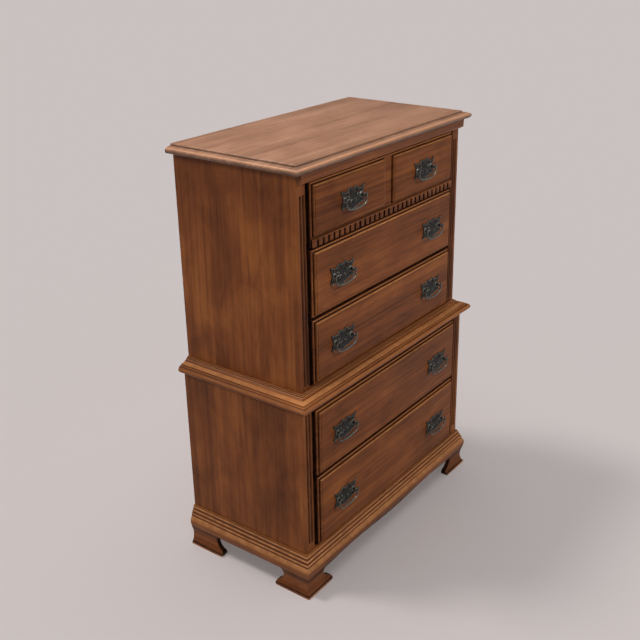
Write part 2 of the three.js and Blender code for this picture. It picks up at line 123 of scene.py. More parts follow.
def eased(points, radius):
    """The same closed outline with every sharp corner rounded off."""
    made = []
    for i, here in enumerate(points):
        p = Vector(here)
        a = Vector(points[i - 1]) - p
        b = Vector(points[(i + 1) % len(points)]) - p
        if a.length < SHORTEST or b.length < SHORTEST or a.angle(b) > math.radians(152):
            made.append(here)
            continue
        size = min(radius, a.length * 0.4, b.length * 0.4)
        start = tuple(p + a.normalized() * size)
        end = tuple(p + b.normalized() * size)
        made.append(start)
        made.extend(curve(start, here, end, steps=3))
    return made


def bend(section):
    """How convex, above 0, or hollow, below 0, a closed section is at each point."""
    points = [Vector(point) for point in section]
    outward = sense(points)
    values = []
    for i, here in enumerate(points):
        a, b = here - points[i - 1], points[(i + 1) % len(points)] - here
        if a.length < SHORTEST or b.length < SHORTEST:
            values.append(0.0)
            continue
        turn = outward * math.atan2(a.x * b.y - a.y * b.x, a.dot(b))
        tightness = turn / ((a.length + b.length) / 2)
        values.append(math.copysign(min(1, (abs(tightness) / 0.6) ** 0.6), tightness))
    return values


def run(points, start, end=None):
    """The points with an edge value added to each, from start to end along them."""
    end = start if end is None else end
    last = max(1, len(points) - 1)
    return [(*point, start + (end - start) * i / last) for i, point in enumerate(points)]


# ---------------------------------------------------------------- meshes

GRAIN_ORDER = {"X": (0, 1, 2), "Y": (1, 0, 2), "Z": (2, 0, 1)}
UPRIGHT_EDGE_SHARE = 0.45  # share of an edge's lightening kept on upright and lower faces, where faces that turn up get 1: a painted highlight on upper edges
dice = random.Random(11)


def edge_values(bm):
    """How convex, above 0, or hollow, below 0, the surface is at each vertex."""
    values = []
    for vertex in bm.verts:
        turn = sum(e.calc_face_angle_signed(0) for e in vertex.link_edges if len(e.link_faces) == 2)
        values.append(max(-1, min(1, turn / 1.1)))
    return values


def placed(name, bm, material):
    """The bmesh as an object in the scene."""
    mesh = bpy.data.meshes.new(name)
    bm.to_mesh(mesh)
    bm.free()
    mesh.materials.append(material)
    made = bpy.data.objects.new(name, mesh)
    bpy.context.scene.collection.objects.link(made)
    return made


def finish_piece(name, bm, material, body, nodes, grain="X", smooth=35, place=(0, 0, 0),
                 edges=None):
    """Turns a bmesh in millimetres into a piece that rides on a body. grain is an axis, or a function of a
    face. edges holds each vertex's edge value, and is measured on the mesh where it isn't given."""
    bmesh.ops.recalc_face_normals(bm, faces=bm.faces)
    bm.normal_update()
    for face in bm.faces:
        face.smooth = True
    for edge in bm.edges:
        if len(edge.link_faces) == 2 and edge.calc_face_angle(0) > math.radians(smooth):
            edge.smooth = False
    edges = edges or edge_values(bm)
    shift = Vector(dice.uniform(-3, 3) for _ in range(3))
    coordinates, edge_wear_and_light = [], []
    bm.verts.index_update()
    for face in bm.faces:
        order = GRAIN_ORDER[grain if isinstance(grain, str) else grain(face)]
        # Faces that turn up keep all of an edge's lightening, and upright or lower faces keep only a share
        # of it: a painted highlight on upper edges, added to their wear.
        upward_highlight = max(UPRIGHT_EDGE_SHARE, min(1, UPRIGHT_EDGE_SHARE + 1.3 * face.normal.z))
        for loop in face.loops:
            co = loop.vert.co * MM
            coordinates.extend(co[k] + s for k, s in zip(order, shift))
            value = edges[loop.vert.index]
            edge_wear_and_light.append(value * upward_highlight if value > 0 else value)
    bmesh.ops.scale(bm, vec=(MM, MM, MM), verts=bm.verts)
    piece = placed(name, bm, material)
    attributes = piece.data.attributes
    attributes.new("grain", "FLOAT_VECTOR", "CORNER").data.foreach_set("vector", coordinates)
    attributes.new("edge", "FLOAT", "CORNER").data.foreach_set("value", edge_wear_and_light)
    piece.location = Vector(place) * MM
    bpy.context.view_layer.update()
    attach(piece, body)
    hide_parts(*nodes)


def slice_mesh(bm, axis, levels):
    """Cuts new edges into the mesh where an axis passes each level."""
    normal = [0, 0, 0]
    normal[axis] = 1
    for level in levels:
        point = [0, 0, 0]
        point[axis] = level
        bmesh.ops.bisect_plane(bm, geom=bm.verts[:] + bm.edges[:] + bm.faces[:], dist=1e-5,
                               plane_co=point, plane_no=normal)


def board(lo, hi, ease=1.2, margin=6):
    """A board with eased edges, and a line of edges all round, close to each of its corners."""
    bm = bmesh.new()
    bmesh.ops.create_cube(bm, size=1)
    size = Vector(hi) - Vector(lo)
    bmesh.ops.scale(bm, vec=size, verts=bm.verts)
    bmesh.ops.translate(bm, vec=(Vector(lo) + Vector(hi)) / 2, verts=bm.verts)
    bmesh.ops.bevel(bm, geom=bm.edges[:], offset=ease, segments=3, profile=0.5, affect="EDGES")
    for axis in range(3):
        if size[axis] > 3 * margin:
            slice_mesh(bm, axis, (lo[axis] + margin, hi[axis] - margin))
    return bm


def skin(bm, rows):
    """Joins rows of vertices, each row a closed loop, with bands of faces."""
    for a, b in zip(rows, rows[1:]):
        for i in range(len(a)):
            j = (i + 1) % len(a)
            bm.faces.new((a[i], a[j], b[j], b[i]))


def loft(bm, sections):
    """Joins rows of points, each row a closed loop, into a skin, and closes its two ends."""
    rows = [[bm.verts.new(point) for point in section] for section in sections]
    skin(bm, rows)
    bm.faces.new(rows[0])
    bm.faces.new(rows[-1])


def joined(*parts):
    """One mesh and one list of edge values from several, each given as a mesh and its values."""
    made, values = bmesh.new(), []
    for bm, edges in parts:
        mesh = bpy.data.meshes.new("part")
        bm.to_mesh(mesh)
        bm.free()
        made.from_mesh(mesh)
        bpy.data.meshes.remove(mesh)
        values.extend(edges)
    return made, values


def swept(points, radii, around, closed=False):
    """A round rod along points in the XZ plane: a closed ring, or with two flat ends."""
    path = [Vector((x, 0, z)) for x, z in points]
    count = len(path)
    rings = []
    for i, here in enumerate(path):
        before = path[i - 1] if closed or i > 0 else here
        after = path[(i + 1) % count] if closed or i < count - 1 else here
        along = (after - before).normalized()
        out = Vector((along.z, 0, -along.x))
        ring = []
        for k in range(around):
            a = 2 * math.pi * k / around
            ring.append(here + radii[i] * (out * math.cos(a) + Vector((0, -1, 0)) * math.sin(a)))
        rings.append(ring)
    bm = bmesh.new()
    if closed:
        rows = [[bm.verts.new(point) for point in ring] for ring in rings]
        skin(bm, rows + rows[:1])
    else:
        loft(bm, rings)
    return bm


def turned(profile, x, z):
    """A turned boss on an axis along Y, from points of radius and Y, closed at both ends."""
    around = 18
    angles = [2 * math.pi * k / around for k in range(around)]
    rings = []
    for radius, y in profile:
        rings.append([(x + radius * math.cos(a), y, z + radius * math.sin(a)) for a in angles])
    bm = bmesh.new()
    loft(bm, rings)
    return bm


def filled(outline, holes, thickness, ease):
    """A plate in the XZ plane with holes and eased edges, from Y 0 at its back to -thickness in front."""
    data = bpy.data.curves.new("plate", "CURVE")
    data.dimensions = "2D"
    data.fill_mode = "BOTH"
    data.extrude = thickness / 2 - ease
    data.bevel_depth = ease
    data.bevel_resolution = 1
    data.offset = -ease
    for points in (outline, *holes):
        spline = data.splines.new("POLY")
        spline.points.add(len(points) - 1)
        for point, (x, z) in zip(spline.points, points):
            point.co = (x, z, 0, 1)
        spline.use_cyclic_u = True
    solid = bpy.data.objects.new("plate", data)
    mesh = bpy.data.meshes.new_from_object(solid)
    bm = bmesh.new()
    bm.from_mesh(mesh)
    bpy.data.objects.remove(solid)
    bpy.data.curves.remove(data)
    bpy.data.meshes.remove(mesh)
    bmesh.ops.remove_doubles(bm, verts=bm.verts, dist=0.002)
    for vertex in bm.verts:
        x, z, y = vertex.co
        vertex.co = (x, -y - thickness / 2, z)
    return bm


def inset_loop(points, distance):
    """The closed outline, moved inwards, with its sharpest corners cut short."""
    path = [Vector(point) for point in points]
    count = len(path)
    sign = sense(path)
    made = []
    for i, here in enumerate(path):
        a = (here - path[i - 1]).normalized()
        b = (path[(i + 1) % count] - here).normalized()
        normal = (Vector((-a.y, a.x)) + Vector((-b.y, b.x))) * sign
        reach = distance / max(0.4, normal.length / 2)
        made.append(tuple(here + normal.normalized() * reach))
    return made


# ---------------------------------------------------------------- materials

class Tree:
    """A material's node tree, written as nested calls."""

    def __init__(self, name=None, material=None):
        """A new material, or further nodes for one that has been made."""
        self.material = material or bpy.data.materials.new(name)
        self.material.use_nodes = True
        self.nodes = self.material.node_tree.nodes
        self.links = self.material.node_tree.links
        self.shader = self.nodes["Principled BSDF"]

    def put(self, socket, value):
        if isinstance(value, bpy.types.NodeSocket):
            self.links.new(value, socket)
        else:
            socket.default_value = value

    def node(self, kind, inputs=(), **settings):
        made = self.nodes.new(kind)
        for key, value in settings.items():
            setattr(made, key, value)
        for key, value in dict(inputs).items():
            self.put(made.inputs[key], value)
        return made

    def look(self, inputs):
        """Sets inputs of the material's own shader."""
        for name, value in inputs.items():
            self.put(self.shader.inputs[name], value)

    def coordinates(self, name):
        return self.node("ShaderNodeTexCoord").outputs[name]

    def split(self, vector):
        return self.node("ShaderNodeSeparateXYZ", {0: vector}).outputs

    def attribute(self, name, output):
        return self.node("ShaderNodeAttribute", attribute_name=name).outputs[output]

    def ordered(self, axis):
        """Object coordinates with the given axis first, so that the grain runs along it."""
        parts = self.split(self.coordinates("Object"))
        inputs = {k: parts[n] for k, n in enumerate(GRAIN_ORDER[axis])}
        return self.node("ShaderNodeCombineXYZ", inputs).outputs[0]

    def math(self, operation, a, b=0.0, c=0.0):
        return self.node("ShaderNodeMath", {0: a, 1: b, 2: c}, operation=operation).outputs[0]

    def stretch(self, vector, scale):
        return self.node("ShaderNodeVectorMath", {0: vector, 1: scale}, operation="MULTIPLY").outputs[0]

    def noise(self, vector, scale=1.0, detail=3.0, roughness=0.55, distortion=0.0):
        inputs = {"Vector": vector, "Scale": scale, "Detail": detail, "Roughness": roughness,
                  "Distortion": distortion}
        return self.node("ShaderNodeTexNoise", inputs).outputs["Fac"]

    def spread(self, value, start, end, to_start=0.0, to_end=1.0):
        """Maps start..end to to_start..to_end, smoothly, and stops at both ends."""
        inputs = {"Value": value, "From Min": start, "From Max": end,
                  "To Min": to_start, "To Max": to_end}
        return self.node("ShaderNodeMapRange", inputs, interpolation_type="SMOOTHSTEP").outputs["Result"]

    def ramp(self, value, *stops):
        made = self.node("ShaderNodeValToRGB", {"Fac": value})
        elements = made.color_ramp.elements
        while len(elements) < len(stops):
            elements.new(0.5)
        for element, (position, colour) in zip(elements, stops):
            element.position = position
            element.color = (*colour, 1)
        return made.outputs["Color"]

    def mix(self, fac, a, b):
        made = self.node("ShaderNodeMix", data_type="RGBA")
        self.put(made.inputs["Factor"], fac)
        for index, value in ((6, a), (7, b)):
            self.put(made.inputs[index], value if isinstance(value, bpy.types.NodeSocket) else (*value, 1))
        return made.outputs[2]


def wood(name, dark, middle, light, glaze_and_shade, wear_and_highlight, gloss, specular, coat, figure=1.0, stripe=1.0,
         coordinates="grain", axis="X"):
    """Maple: fine fibres, streaks and a cloudy figure, with grooves darkened, partly as glazing and partly
    as painted shade, and edges lightened, partly as wear and partly as painted highlight.
    """
    tree = Tree(name)
    if coordinates == "grain":
        place = tree.attribute("grain", "Vector")
        edge = tree.attribute("edge", "Fac")
    else:
        place = tree.ordered(axis[0])
        if axis == "XY":
            normal = tree.split(tree.coordinates("Normal"))
            sideways = tree.math("GREATER_THAN", tree.math("ABSOLUTE", normal[0]), 0.7)
            chosen = tree.node("ShaderNodeMix", data_type="VECTOR")
            for index, value in ((0, sideways), (4, place), (5, tree.ordered("Y"))):
                tree.put(chosen.inputs[index], value)
            place = chosen.outputs[1]
        edge = 0.0
    fibres = tree.noise(tree.stretch(place, (9, 620, 620)), detail=2)
    streaks = tree.noise(tree.stretch(place, (2.2, 110, 110)), detail=4, distortion=0.3)
    bands = tree.noise(tree.stretch(place, (0.5, 13, 13)), detail=2)
    clouds = tree.noise(tree.stretch(place, (5.5, 9, 9)), detail=4, roughness=0.6, distortion=0.5)
    rings = tree.noise(tree.stretch(place, (0.9, 8, 8)), detail=1, distortion=0.2)
    rings = tree.math("PINGPONG", tree.math("MULTIPLY", rings, 15.0), 0.5)
    rings = tree.spread(rings, 0.0, 0.16)
    parts = tree.split(place)
    across = tree.math("ADD", parts[1], parts[2])
    staves = tree.math("FLOOR", tree.math("MULTIPLY", across, 11.0))
    staves = tree.node("ShaderNodeTexWhiteNoise", {"W": staves}, noise_dimensions="1D").outputs["Value"]

    tone = tree.math("MULTIPLY_ADD", streaks, 0.5 * stripe, -0.25 * stripe)
    tone = tree.math("MULTIPLY_ADD", bands, 0.55 * stripe, tone)
    tone = tree.math("MULTIPLY_ADD", clouds, 0.6 * figure, tone)
    tone = tree.math("MULTIPLY_ADD", fibres, 0.16, tone)
    tone = tree.math("MULTIPLY_ADD", rings, 0.05, tone)
    tone = tree.math("MULTIPLY_ADD", staves, 0.09 * figure, tone)
    middle_level = 0.275 * stripe + 0.3 * figure + 0.08 + 0.04 + 0.045 * figure
    tone = tree.math("SUBTRACT", tone, middle_level - 0.5)
    colour = tree.ramp(tone, (0.31, dark), (0.5, middle), (0.69, light))

    patches = tree.noise(place, scale=42, detail=3)
    # Darkens towards the near-black tone where the edge value is below 0: glazing in grooves, and painted
    # shade in grooves and on faces that turn down.
    hollow = tree.spread(edge, -0.06, -0.55)
    hollow = tree.math("MULTIPLY", hollow, tree.spread(patches, 0.2, 0.7, 0.65, 1.0))
    colour = tree.mix(hollow, colour, glaze_and_shade)
    # Lightens towards the pale tone where the edge value is above 0: wear on edges, and a painted highlight
    # on edges that face up and on coves given high values.
    wear_and_painted_highlight = tree.spread(edge, 0.12, 0.75)
    wear_and_painted_highlight = tree.math("MULTIPLY", wear_and_painted_highlight, tree.spread(patches, 0.3, 0.66, 0.5, 0.85))
    colour = tree.mix(wear_and_painted_highlight, colour, wear_and_highlight)

    roughness = tree.math("MULTIPLY_ADD", patches, 0.14, gloss - 0.07)
    roughness = tree.math("MULTIPLY_ADD", hollow, 0.2, roughness)
    depth = tree.math("MULTIPLY_ADD", fibres, 0.35, streaks)
    bump = tree.node("ShaderNodeBump", {"Height": depth, "Strength": 0.12, "Distance": 0.0006})
    tree.look({"Base Color": colour, "Roughness": roughness, "Normal": bump.outputs["Normal"],
               "Specular IOR Level": specular, "Coat Weight": coat, "Coat Roughness": 0.22})
    return tree.material


def antique_metal():
    """Brass under a near-black antique finish, bare and silvery on its raised edges from wear, and most on
    edges that face up, which is a painted highlight.
    """
    tree = Tree("antique_metal")
    place = tree.attribute("grain", "Vector")
    edge = tree.attribute("edge", "Fac")
    grime = tree.noise(place, scale=260, detail=4, roughness=0.65)
    fine = tree.noise(place, scale=1400, detail=2)
    wear_and_painted_highlight = tree.math("MULTIPLY", tree.spread(edge, 0.02, 0.5), tree.spread(grime, 0.36, 0.6, 0.25, 1))
    base = tree.ramp(grime, (0.3, (0.004, 0.0042, 0.004)), (0.7, (0.014, 0.015, 0.013)))
    height = tree.math("MULTIPLY_ADD", fine, 0.4, grime)
    bump = tree.node("ShaderNodeBump", {"Height": height, "Strength": 0.35, "Distance": 0.0004})
    tree.look({"Base Color": tree.mix(wear_and_painted_highlight, base, (0.26, 0.255, 0.22)),
               "Metallic": tree.spread(wear_and_painted_highlight, 0.0, 0.8, 0.2, 0.9),
               "Roughness": tree.math("MULTIPLY_ADD", grime, 0.2, 0.3),
               "Normal": bump.outputs["Normal"],
               "Specular IOR Level": 0.3})
    return tree.material


def shelf_wood():
    """Bare wood for a drawer divider, darkened to near-black over its front edge, with a ragged border."""
    material = wood("shelf_wood", **PLAIN, gloss=0.6, specular=0.2, coat=0.0, coordinates="object")
    tree = Tree(material=material)
    bare = tree.shader.inputs["Base Color"].links[0].from_socket
    place = tree.coordinates("Object")
    ragged = tree.math("MULTIPLY_ADD", tree.noise(place, scale=30, detail=3), 0.02, tree.split(place)[1])
    # The front of the divider takes the near-black tone of the grooves.
    stained = tree.spread(ragged, UPPER_FRONT * MM + 0.05, UPPER_FRONT * MM + 0.058, 1.0, 0.0)
    tree.look({"Base Color": tree.mix(stained, bare, STAINED["glaze_and_shade"])})
    return material


# In each set of tones, the near-black one darkens grooves, partly as glazing and partly as painted shade,
# and the pale one lightens edges, partly as wear and partly as painted highlight.
STAINED = {
    "dark": (0.09, 0.024, 0.006),
    "middle": (0.175, 0.05, 0.0115),
    "light": (0.29, 0.094, 0.022),
    "glaze_and_shade": (0.009, 0.0035, 0.002),
    "wear_and_highlight": (0.47, 0.2, 0.072),
}
# A darker copy of the drawer tones, for the top drawer and its dentil strip: painted shade that makes them
# darker than the other drawers.
STAINED_SHADED = {
    "dark": (0.066, 0.0175, 0.0044),
    "middle": (0.13, 0.036, 0.0084),
    "light": (0.225, 0.071, 0.0165),
    "glaze_and_shade": (0.009, 0.0035, 0.002),
    "wear_and_highlight": (0.41, 0.17, 0.06),
}
# The top board's tones: the stain made much paler and greyer, partly its own colour and partly painted
# light and sheen from above on its upward face.
STAINED_TOP_LIT = {
    "dark": (0.16, 0.072, 0.036),
    "middle": (0.25, 0.121, 0.067),
    "light": (0.345, 0.181, 0.108),
    "glaze_and_shade": (0.02, 0.008, 0.004),
    "wear_and_highlight": (0.5, 0.24, 0.12),
}
CASE_WOOD = wood("case_wood", **STAINED, gloss=0.46, specular=0.14, coat=0.03, stripe=0.72)
TOP_LIT_WOOD = wood("top_wood", **STAINED_TOP_LIT, gloss=0.42, specular=0.35, coat=0.2, figure=0.8)
MOULDING_WOOD = wood("moulding_wood", **STAINED, gloss=0.4, specular=0.16, coat=0.05, figure=0.7)
DRAWER_WOOD = wood("drawer_wood", **STAINED, gloss=0.42, specular=0.12, coat=0.03, figure=0.75)
TOP_DRAWER_SHADED_WOOD = wood("top_drawer_shaded_wood", **STAINED_SHADED, gloss=0.42, specular=0.1, coat=0.03, figure=0.75)
PLAIN = {
    "dark": (0.33, 0.185, 0.087),
    "middle": (0.46, 0.285, 0.145),
    "light": (0.56, 0.375, 0.21),
    "glaze_and_shade": (0.12, 0.075, 0.04),
    "wear_and_highlight": (0.5, 0.36, 0.22),
}
INSIDE = dict(PLAIN, gloss=0.62, specular=0.3, coat=0.0, figure=0.5, coordinates="object")
INSIDE_X = wood("inside_wood_x", **INSIDE)
INSIDE_Z = wood("inside_wood_z", **INSIDE, axis="Z")
INSIDE_BOX = wood("inside_wood_box", **INSIDE, axis="XY")
CASE_X = wood("case_wood_x", **STAINED, gloss=0.46, specular=0.22, coat=0.06, coordinates="object")
SHELF_WOOD = shelf_wood()
METAL = antique_metal()


# ---------------------------------------------------------------- case

def top_board():
    """Levels of a rectangle that steps out at its front and both ends, and is flat at the back."""
    # The edge values paint light and shade: the underside of the overhang and the lower half of the nose
    # are darkened as painted shade, and the upper half of the nose is lightened as a painted highlight.
    edge = run([(20, 0)] + curve((20, 0), (27.6, 0.2), (29.2, 5.4)), -0.6, -0.3)
    nose = curve((29.2, 5.4), (31.2, 12.6), (24, 16.2), steps=8)
    edge += run(nose[:4], -0.32, -0.12)
    edge += run(nose[4:], 0.2, 0.6)
    edge += run(curve((24, 16.2), (17, 19.2), (9.8, 19.6), steps=4), -0.16, -0.24)
    edge += run([(8.4, 19.2), (7.2, 19.4)], -0.4)
    edge += run(curve((7.2, 19.4), (6.9, 24.4), (4.4, 24.9), steps=5), -0.28, -0.1)
    edge += run([(2.4, 25), (-6, 25)], 0.0)

    def level(p, z):
        height = TOP_UNDERSIDE + z
        back = BACK + min(p, 0)
        return [(-UPPER_HALF - p, UPPER_FRONT - p, height), (UPPER_HALF + p, UPPER_FRONT - p, height),
                (UPPER_HALF + p, back, height), (-UPPER_HALF - p, back, height)]

    bm = bmesh.new()
    loft(bm, [level(p, z) for p, z, _ in edge])
    edges = [value for _, _, value in edge for _ in range(4)]
    finish_piece("top_board_moulded", bm, TOP_LIT_WOOD, "case", ["top_board"], edges=edges)


def bed_moulding():
    depth = UPPER_FRONT - low("bed_moulding").y
    section = [(0, 0), (0, 30), (depth, 30), (depth, 21), (depth - 0.8, 20.2), (depth - 0.8, 10)]
    section += curve((depth - 0.8, 10), (depth - 1.2, 2.4), (depth - 9, 2.2), steps=8)
    section += [(depth - 9.6, 0)]
    section = eased(section, 0.6)
    bm = bmesh.new()
    loft(bm, [[(x, UPPER_FRONT - p, BED_BOTTOM + z) for p, z in section]
              for x in (-UPPER_HALF, UPPER_HALF)])
    finish_piece("bed_moulding_shaped", bm, MOULDING_WOOD, "case", ["bed_moulding"],
                 edges=bend(section) * 2)


def waist_moulding():
    """Fillet, cove, bevel and nose, swept round three sides with mitred corners."""
    step = LOWER_HALF - UPPER_HALF
    # Edge values: the underside is darkened as painted shade, and the cove, though hollow, is lightened
    # over much of its face as a painted highlight; the crests carry wear, and the quirks carry glazing with
    # painted shade.
    section = run([(step, 0), (39, 0)], -0.7)
    section += run(curve((39, 0), (46.3, 1.6), (46.5, 9), steps=8), -0.5, 0.45)
    section += run(curve((46.5, 9), (46.2, 15.6), (41.6, 18.4), steps=6), 0.55, 0.2)
    section += run([(40.4, 18.6), (39.9, 19.6)], -0.8)
    section += run([(39, 20), (36.5, 21), (33.4, 22)], 0.3)
    section += run([(32.6, 22.2), (32.3, 23)], -0.6)
    section += run([(31.8, 24.4), (30.6, 25)], 0.7)
    cove = curve((30.6, 25), (17, 26.6), (9.4, 33.4), steps=10)
    section += run(cove[:5], 1.0, 0.6)
    section += run(cove[5:8], -0.1, -0.16)
    section += run(cove[8:], 0.3, 0.6)
    section += run([(8.9, 34), (8.4, 34.3)], -0.8)
    section += run([(8, 36.6), (6.6, 37.2)], 0.6)
    section += run([(5, 37.4)], -0.7)
    section += run([(4.6, 39.4), (4, 40), (2.4, 40)], 0.4)
    section += run([(0, 40), (0, 20), (step, 20)], -0.3)

    def around(p, z):
        height = WAIST_BOTTOM + z
        return [(-UPPER_HALF - p, BACK, height), (-UPPER_HALF - p, UPPER_FRONT - p, height),
                (UPPER_HALF + p, UPPER_FRONT - p, height), (UPPER_HALF + p, BACK, height)]

    stations = zip(*(around(p, z) for p, z, _ in section))
    bm = bmesh.new()
    loft(bm, [list(station) for station in stations])

    def grain(face):
        c = face.calc_center_median()
        return "X" if abs(c.x) < UPPER_HALF - 1 else "Y"

    finish_piece("waist_moulding_shaped", bm, MOULDING_WOOD, "case", ["waist_moulding"],
                 grain, edges=[value for _, _, value in section] * 4)


def sides():
    for node in ("upper_left_side", "upper_right_side", "lower_left_side", "lower_right_side"):
        bm = board(low(node), high(node), ease=0.5)
        finish_piece(node + "_board", bm, CASE_WOOD, "case", [node], "Z")


FLUTE_RADIUS = 4.75
FLUTE_DEPTH = 3.5
FLUTE_INSET = 12  # from the stile's outer edge to the first flute
FLUTE_PITCH = 12.5


def fluted_stile(node, flute_low, flute_high):
    """A stile whose front has two round-bottomed flutes with round ends."""
    lo, hi = low(node), high(node)
    side = -1 if lo.x < 0 else 1
    outer = hi.x if side > 0 else lo.x
    inner = lo.x if side > 0 else hi.x
    r, deep, ease = FLUTE_RADIUS, FLUTE_DEPTH, 1.2
    first = FLUTE_INSET + r
    rim = r + 0.7
    across = [-1, -0.92, -0.75, -0.5, -0.25, 0, 0.25, 0.5, 0.75, 0.92, 1]
    columns = [(ease, None), (4.5, None), (first - rim, None)]
    for centre in (first, first + FLUTE_PITCH):
        columns += [(centre + r * u, u) for u in across]
        columns += [(centre + rim, None)]
    columns += [(abs(outer - inner) - ease, None)]

    def row(z, sign, t):
        """Points of one row: t is 1 on the round end of the flute and 0 where its straight part starts."""
        points = []
        for distance, u in columns:
            x = outer - side * distance
            if t is None or u is None:
                lift = 0 if t is None else r * t * 0.08
                points.append((x, lo.y, z + sign * lift))
                continue
            bow = 0.08 + 0.92 * math.sqrt(max(0, 1 - u * u))
            s = u * u + t * t * (1 - u * u)
            points.append((x, lo.y + deep * math.sqrt(max(0, 1 - s)), z + sign * r * t * bow))
        return points

    rows = [[(p[0], lo.y, lo.z + ease) for p in row(0, 1, None)]]
    base, top = flute_low + r, flute_high - r
    rows.append(row(flute_low - 1.5, 1, None))
    rows += [row(base, -1, t) for t in (1, 0.93, 0.75, 0.45, 0)]
    rows += [row(top, 1, t) for t in (0, 0.45, 0.75, 0.93, 1)]
    rows.append(row(flute_high + 1.5, 1, None))
    rows.append([(p[0], lo.y, hi.z - ease) for p in row(0, 1, None)])
    bm = bmesh.new()
    skirt = [(0.7 * ease, 0.3 * ease, 0.6), (ease, ease, 0.25), (ease, 2 * ease, 0)]
    edges = skirted_grid(bm, rows, hi.y, skirt)[1]
    # Inside the flutes the edge value falls with depth, to -0.5 at the bottom: glazing and painted shade,
    # darker where the flute is deeper.
    for j, points in enumerate(rows):
        for i, point in enumerate(points):
            inside = 0 < i < len(points) - 1
            edges[j * len(columns) + i] = -0.5 * (point[1] - lo.y) / deep if inside else 0.4
    for j in range(2, len(rows) - 2):
        for i, (_, u) in enumerate(columns):
            if u in (-1, 1):
                edges[j * len(columns) + i] = 0.35
    finish_piece(node + "_fluted", bm, CASE_WOOD, "case", [node], "Z", smooth=50, edges=edges)


def skirted_grid(bm, rows, back, skirt, skip=()):
    """A board with a grid of points as its front, a moulded skirt and a flat back. The skirt lists how far
    it goes out of the grid and behind it, and its edge value. Returns the grid and the edge values."""
    grid = [[bm.verts.new(point) for point in row] for row in rows]
    tall, wide = len(grid), len(grid[0])
    for j in range(tall - 1):
        for i in range(wide - 1):
            if (i, j) not in skip:
                bm.faces.new((grid[j][i], grid[j][i + 1], grid[j + 1][i + 1], grid[j + 1][i]))
    rim = [(0, i) for i in range(wide)] + [(j, wide - 1) for j in range(1, tall)]
    rim += [(tall - 1, i) for i in range(wide - 2, -1, -1)] + [(j, 0) for j in range(tall - 2, 0, -1)]
    front = grid[0][0].co.y
    sign = 1 if grid[0][-1].co.x > grid[0][0].co.x else -1
    loops = [[grid[j][i] for j, i in rim]]
    edges = [0.0] * (tall * wide)
    for out, depth, value in (*skirt, (skirt[-1][0], back - front, skirt[-1][2])):
        ring = []
        for j, i in rim:
            x = grid[j][i].co.x + sign * out * ((i == wide - 1) - (i == 0))
            z = grid[j][i].co.z + out * ((j == tall - 1) - (j == 0))
            ring.append(bm.verts.new((x, front + depth, z)))
            edges.append(value)
        loops.append(ring)
    skin(bm, loops)
    bm.faces.new(loops[-1])
    return grid, edges


def stiles():
    for hand in HANDS:
        fluted_stile(f"upper_{hand}_stile", WAIST_TOP + 14, TOP_UNDERSIDE - 62)
        fluted_stile(f"lower_{hand}_stile", BASE_TOP + 28, WAIST_BOTTOM - 12)


# ---------------------------------------------------------------- base boards and feet

def base_section():
    """How far the base boards stand out from the lower case at each height, from the floor up, with edge
    values."""
    # Edge values: the bulge and each bead are lighter on their upper parts and darker on their lower parts,
    # a painted highlight and painted shade on top of wear and glazing; the bottom pad's high value is
    # partly wear and partly a painted highlight against the shade near the floor.
    section = run([(BASE_PROUD, 0), (BASE_PROUD, 5.4)], 0.8, 1.0)
    section += run(curve((BASE_PROUD, 5.4), (23.6, 6.8), (21.5, 9), steps=3), -0.5, -0.7)
    section += run(curve((21.5, 9), (14.6, 19), (14.5, 36), steps=8), 0.1, 0.0)
    section += run(curve((14.5, 36), (14.5, 50), (19.8, 62), steps=5), -0.1, -0.4)
    section += run(curve((19.8, 62), (23, 74), (24.3, 82), steps=5), -0.3, 0.35)
    section += run(curve((24.3, 82), (24.6, 91), (21.4, 97), steps=6), 0.5, 0.85)
    section += run(curve((21.4, 97), (19, 101), (16.6, 102.8), steps=4), 0.85, 0.6)
    section += run([(15.7, 103.4)], -0.6)
    for x, z, radius in ((12.9, 108.4, 4.9), (8.3, 118.9, 5.4), (3.9, 129.6, 4.9)):
        section += run(arc((x, z), radius, -38, 64, 9), 0.3, 1.0)
        section += run([(x + 1.6, z + radius + 0.9)], -0.6)
    section += run([(5, 136.4), (4.4, BASE_TOP)], 0.4)
    ordered = [section[0]]
    for p, z, value in section[1:]:
        if z > ordered[-1][1] + 0.12:
            ordered.append((p, z, value))
    return ordered


def proud(section, z):
    """How far the section stands out at a height, and its edge value there."""
    for (p0, z0, value0), (p1, z1, value1) in zip(section, section[1:]):
        if z <= z1:
            t = max(0, z - z0) / (z1 - z0)
            return p0 + (p1 - p0) * t, value0 + (value1 - value0) * t
    return section[-1][0], section[-1][2]


def foot_outline(start, end, toe, neck, apron, inset):
    """The lower edge of a board with a foot at each end, from the end foot, inset from its true line."""
    neck_high = 46
    toe_end, neck_end = end - toe, end - neck
    half = [(toe_end + 8, 0)]
    half += curve((toe_end + 8, 0), (toe_end + 0.4, 0.4), (toe_end, 7), steps=4)
    half += curve((toe_end, 7), (toe_end + 0.2, 13), (toe_end + 5.5, 17), steps=4)
    half += curve((toe_end + 5.5, 17), (neck_end - 1, 26), (neck_end, neck_high), steps=10)
    half += curve((neck_end, neck_high), (neck_end - 0.5, apron(neck_end) - 1),
                  (neck_end - 9, apron(neck_end - 9)), steps=6)
    middle, count = (start + end) / 2, 40
    reach = 2 * (half[-1][0] - middle)
    places = [half[-1][0] - reach * i / count for i in range(1, count)]
    points = half + [(s, apron(s)) for s in places] + [(2 * middle - s, z) for s, z in reversed(half)]
    moved = []
    for i, (s, z) in enumerate(points):
        before = Vector(points[max(0, i - 1)])
        after = Vector(points[min(len(points) - 1, i + 1)])
        along = (after - before).normalized()
        moved.append((s + along.y * inset, z - along.x * inset if 0 < i < len(points) - 1 else z))
    return moved


